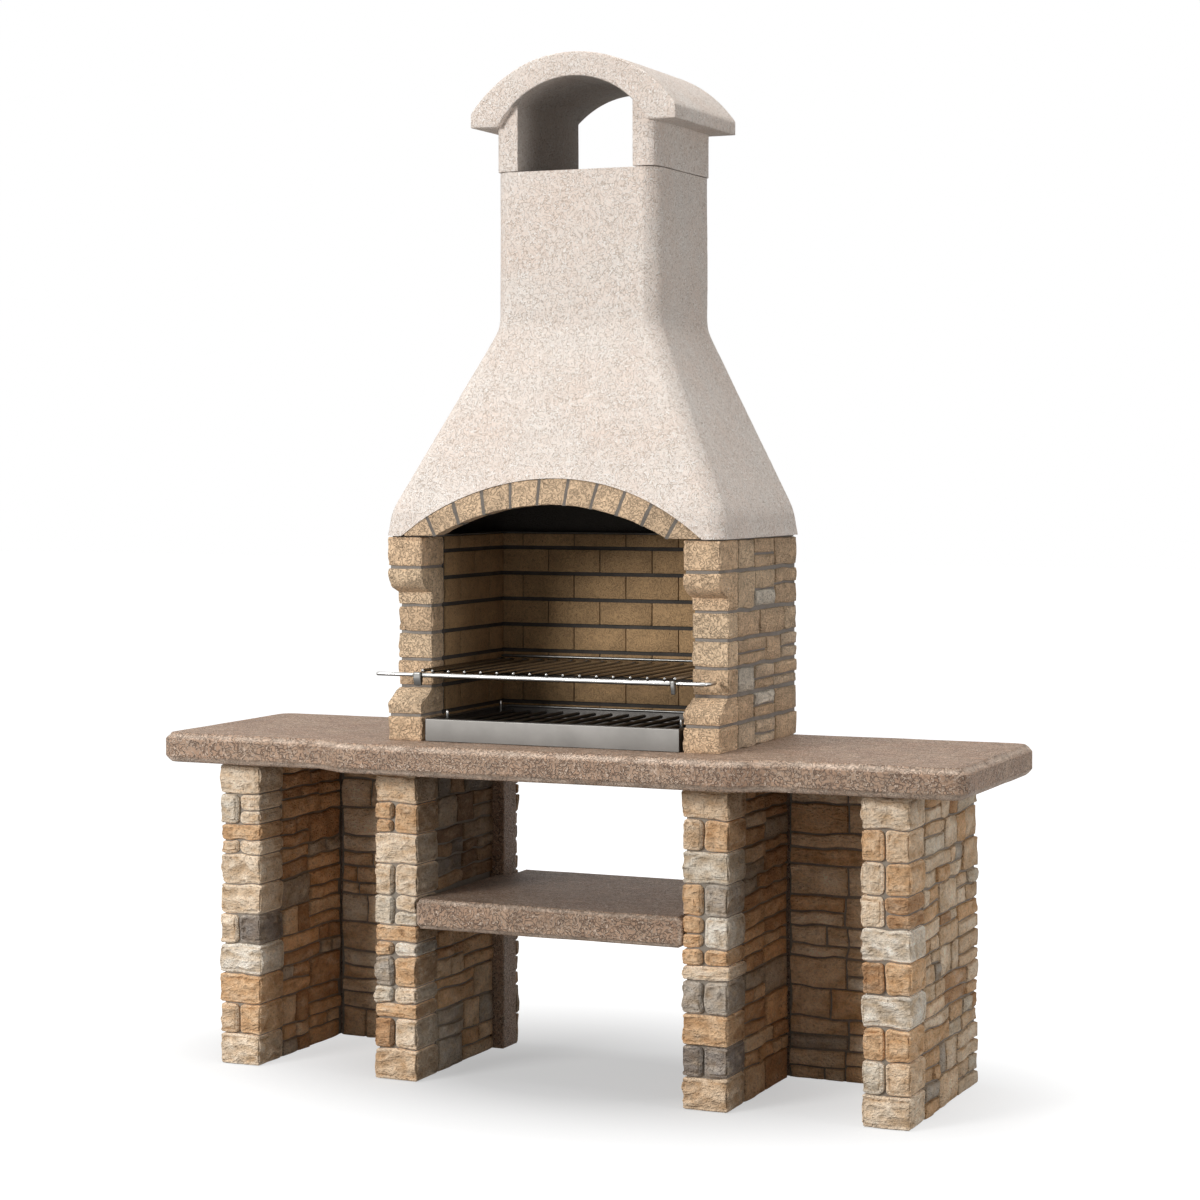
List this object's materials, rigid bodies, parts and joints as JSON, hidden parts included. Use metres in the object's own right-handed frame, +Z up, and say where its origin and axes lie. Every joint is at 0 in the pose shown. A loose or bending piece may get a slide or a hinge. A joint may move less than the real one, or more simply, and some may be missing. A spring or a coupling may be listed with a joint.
{
  "type": "masonry garden barbecue",
  "caption": "Masonry garden barbecue: stone-faced legs under a bowed cast worktop, brick firebox with sliding grill and ember tray, arched hood and vaulted chimney cap.",
  "frame": {"origin": "on the floor under the middle of the worktop, at the centre of the bounding box's base", "axes": "+X to the right seen from the front, +Y to the back, +Z up"},
  "size_m": [1.924, 0.62, 2.309],
  "materials": {
    "leg_concrete": "rough grey-brown concrete",
    "facing_stone": "split-face sandstone in mixed tones",
    "brown_cast_stone": "speckled brown cast stone",
    "white_cast_stone": "speckled cream cast stone",
    "tan_brick": "rough tan brick",
    "fire_brick": "matt fire brick",
    "mortar": "grey mortar",
    "stainless_sheet": "brushed stainless",
    "stainless_rail": "satin stainless",
    "chromed_rod": "bright chrome",
    "dark_steel_rod": "blackened steel"
  },
  "bodies": {
    "masonry": {"left_outer_leg_core": "leg_concrete", "left_outer_leg_quoins": "facing_stone", "left_outer_leg_stones": "facing_stone", "left_inner_leg_core": "leg_concrete", "left_inner_leg_quoins": "facing_stone", "left_inner_leg_stones": "facing_stone", "right_outer_leg_core": "leg_concrete", "right_outer_leg_quoins": "facing_stone", "right_outer_leg_stones": "facing_stone", "right_inner_leg_core": "leg_concrete", "right_inner_leg_quoins": "facing_stone", "right_inner_leg_stones": "facing_stone", "left_back_panel_core": "brown_cast_stone", "left_back_panel_stones": "facing_stone", "left_pier_base_block": "tan_brick", "left_pier_sloped_block": "tan_brick", "left_pier_plain_blocks": "tan_brick", "left_pier_corbel_block": "tan_brick", "left_pier_top_block": "tan_brick", "left_cheek_core": "mortar", "left_cheek_stones": "tan_brick", "left_lining_bricks": "fire_brick", "right_back_panel_core": "brown_cast_stone", "right_back_panel_stones": "facing_stone", "right_pier_base_block": "tan_brick", "right_pier_sloped_block": "tan_brick", "right_pier_plain_blocks": "tan_brick", "right_pier_corbel_block": "tan_brick", "right_pier_top_block": "tan_brick", "right_cheek_core": "mortar", "right_cheek_stones": "tan_brick", "right_lining_bricks": "fire_brick", "leg_bed_mortar": "mortar", "worktop_bed_mortar": "mortar", "pier_bed_mortar": "mortar", "hood_bed_mortar": "mortar", "arch_mortar": "mortar", "back_wall_core": "mortar", "worktop": "brown_cast_stone", "lower_shelf": "brown_cast_stone", "back_lining_bricks": "fire_brick", "hood": "white_cast_stone", "chimney_cap": "white_cast_stone", "arch_bricks": "tan_brick", "grill_rest_pegs": "dark_steel_rod"},
    "cooking_grill": {"grill_bars": "chromed_rod", "grill_side_rods": "chromed_rod", "grill_front_rail": "stainless_rail", "grill_rear_rail": "chromed_rod", "grill_left_clip": "chromed_rod", "grill_right_clip": "chromed_rod", "grill_left_handle": "chromed_rod", "grill_right_handle": "chromed_rod"},
    "ember_tray": {"ember_tray_pan": "stainless_sheet", "ember_tray_front": "stainless_sheet"},
    "ember_grate": {"ember_grate_bars": "dark_steel_rod", "ember_grate_cross_rods": "dark_steel_rod", "ember_grate_posts": "dark_steel_rod"}
  },
  "joints": [
    {"name": "grill_slide", "type": "slide", "parent": "masonry", "child": "cooking_grill", "axis": [0, -1, 0], "range_m": [0, 0.28]},
    {"name": "tray_slide", "type": "slide", "parent": "masonry", "child": "ember_tray", "axis": [0, -1, 0], "range_m": [0, 0.35]},
    {"name": "grate_lift", "type": "slide", "parent": "ember_tray", "child": "ember_grate", "axis": [0, 0, 1], "range_m": [0, 0.06]}
  ]
}
